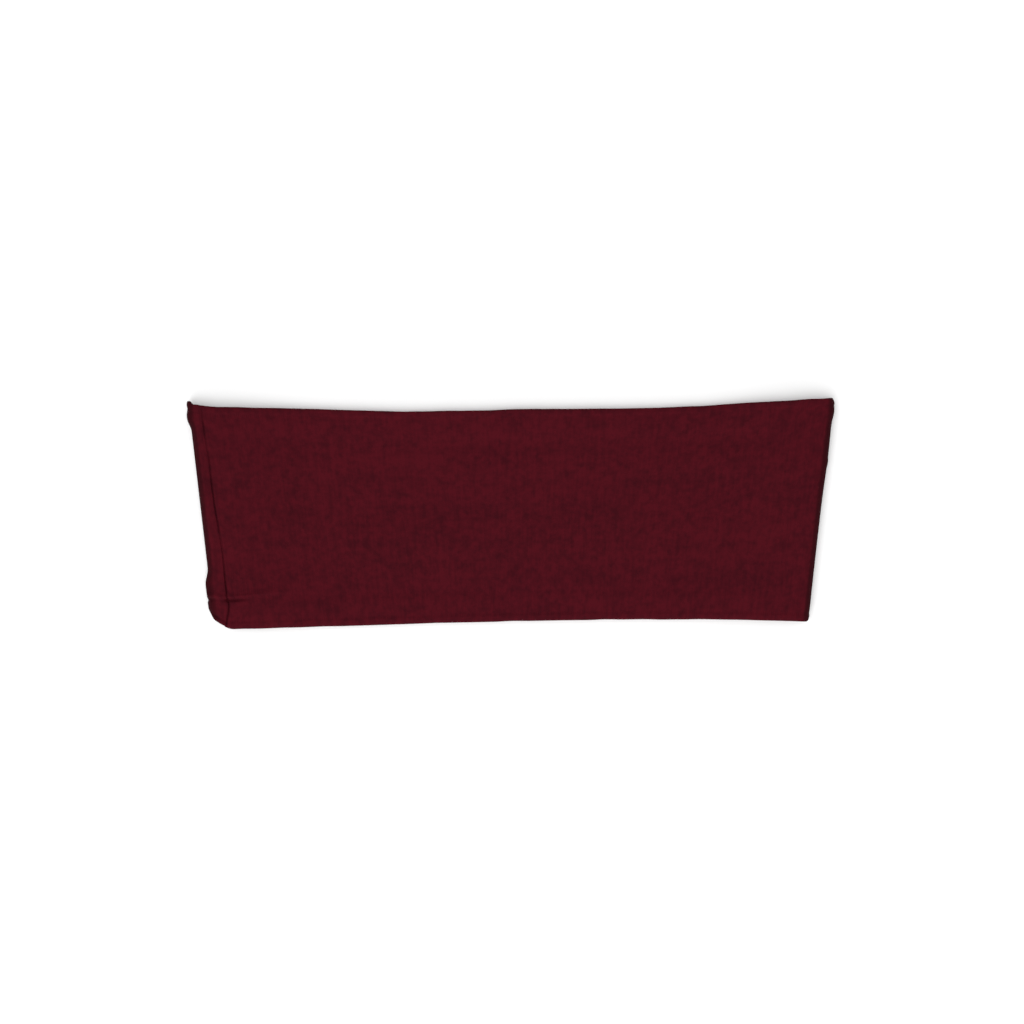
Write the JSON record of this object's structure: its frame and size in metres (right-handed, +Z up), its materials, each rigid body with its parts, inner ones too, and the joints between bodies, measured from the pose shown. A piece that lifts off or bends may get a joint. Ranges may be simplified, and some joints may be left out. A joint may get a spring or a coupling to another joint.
{
  "type": "wide headband",
  "caption": "Wide jersey headband: a seamed two-ply fabric loop that lies flat, folded in two, and opens to a ring to go over the head.",
  "frame": {"origin": "centre of the underside of the flat band, on the surface that it lies on", "axes": "+X along the band to its right fold, +Y across the band to its longer edge, +Z up through the two halves"},
  "size_m": [0.2402, 0.0832, 0.0084],
  "materials": {
    "jersey_outer": "matt burgundy cotton jersey, fine vertical wales",
    "jersey_lining": "matt burgundy cotton jersey, lining side",
    "turned_in_edges": "raw jersey edges, pressed inside",
    "sewing_thread": "polyester sewing thread, slight sheen"
  },
  "bodies": {
    "back_middle": {"back_middle_outer_ply": "jersey_outer", "back_middle_lining_ply": "jersey_lining", "back_middle_top_seam_allowance": "turned_in_edges", "back_middle_top_seam_thread": "sewing_thread", "back_middle_bottom_seam_allowance": "turned_in_edges", "back_middle_bottom_seam_thread": "sewing_thread"},
    "back_left": {"back_left_outer_ply": "jersey_outer", "back_left_lining_ply": "jersey_lining", "back_left_top_seam_allowance": "turned_in_edges", "back_left_top_seam_thread": "sewing_thread", "back_left_bottom_seam_allowance": "turned_in_edges", "back_left_bottom_seam_thread": "sewing_thread"},
    "back_right": {"back_right_outer_ply": "jersey_outer", "back_right_lining_ply": "jersey_lining", "back_right_top_seam_allowance": "turned_in_edges", "back_right_top_seam_thread": "sewing_thread", "back_right_bottom_seam_allowance": "turned_in_edges", "back_right_bottom_seam_thread": "sewing_thread"},
    "front_left": {"front_left_outer_ply": "jersey_outer", "front_left_lining_ply": "jersey_lining", "front_left_top_seam_allowance": "turned_in_edges", "front_left_top_seam_thread": "sewing_thread", "front_left_bottom_seam_allowance": "turned_in_edges", "front_left_bottom_seam_thread": "sewing_thread", "join_seam_allowance": "turned_in_edges", "join_seam_thread": "sewing_thread", "turning_gap_stitches": "sewing_thread"},
    "front_middle_left": {"front_middle_left_outer_ply": "jersey_outer", "front_middle_left_lining_ply": "jersey_lining", "front_middle_left_top_seam_allowance": "turned_in_edges", "front_middle_left_top_seam_thread": "sewing_thread", "front_middle_left_bottom_seam_allowance": "turned_in_edges", "front_middle_left_bottom_seam_thread": "sewing_thread"},
    "front_right": {"front_right_outer_ply": "jersey_outer", "front_right_lining_ply": "jersey_lining", "front_right_top_seam_allowance": "turned_in_edges", "front_right_top_seam_thread": "sewing_thread", "front_right_bottom_seam_allowance": "turned_in_edges", "front_right_bottom_seam_thread": "sewing_thread"},
    "front_middle_right": {"front_middle_right_outer_ply": "jersey_outer", "front_middle_right_lining_ply": "jersey_lining", "front_middle_right_top_seam_allowance": "turned_in_edges", "front_middle_right_top_seam_thread": "sewing_thread", "front_middle_right_bottom_seam_allowance": "turned_in_edges", "front_middle_right_bottom_seam_thread": "sewing_thread"}
  },
  "joints": [
    {"name": "bend_back_left", "type": "hinge", "parent": "back_middle", "child": "back_left", "pos_m": [-0.03833, 0, 0.00255], "axis": [-0.0406, 0.9992, 0], "range_deg": [0, 60]},
    {"name": "bend_back_right", "type": "hinge", "parent": "back_middle", "child": "back_right", "pos_m": [0.03833, 0, 0.00255], "axis": [-0.0406, -0.9992, 0], "range_deg": [0, 60]},
    {"name": "fold_left", "type": "hinge", "parent": "back_left", "child": "front_left", "pos_m": [-0.115, 0, 0.00275], "axis": [0.1211, -0.9926, 0], "range_deg": [0, 120]},
    {"name": "fold_right", "type": "hinge", "parent": "back_right", "child": "front_right", "pos_m": [0.115, 0, 0.00275], "axis": [0.1211, 0.9926, 0], "range_deg": [0, 120]},
    {"name": "bend_front_left", "type": "hinge", "parent": "front_left", "child": "front_middle_left", "pos_m": [-0.03833, 0, 0.00295], "axis": [-0.0406, 0.9992, 0], "range_deg": [0, 60]},
    {"name": "bend_front_right", "type": "hinge", "parent": "front_right", "child": "front_middle_right", "pos_m": [0.03833, 0, 0.00295], "axis": [-0.0406, -0.9992, 0], "range_deg": [0, 60]}
  ],
  "couplings": [
    {"joint": "fold_right", "follows": "fold_left", "ratio": 1},
    {"joint": "bend_back_left", "follows": "fold_left", "ratio": 0.4978},
    {"joint": "bend_back_right", "follows": "fold_left", "ratio": 0.4978},
    {"joint": "bend_front_left", "follows": "fold_left", "ratio": 0.4978},
    {"joint": "bend_front_right", "follows": "fold_left", "ratio": 0.4978}
  ]
}
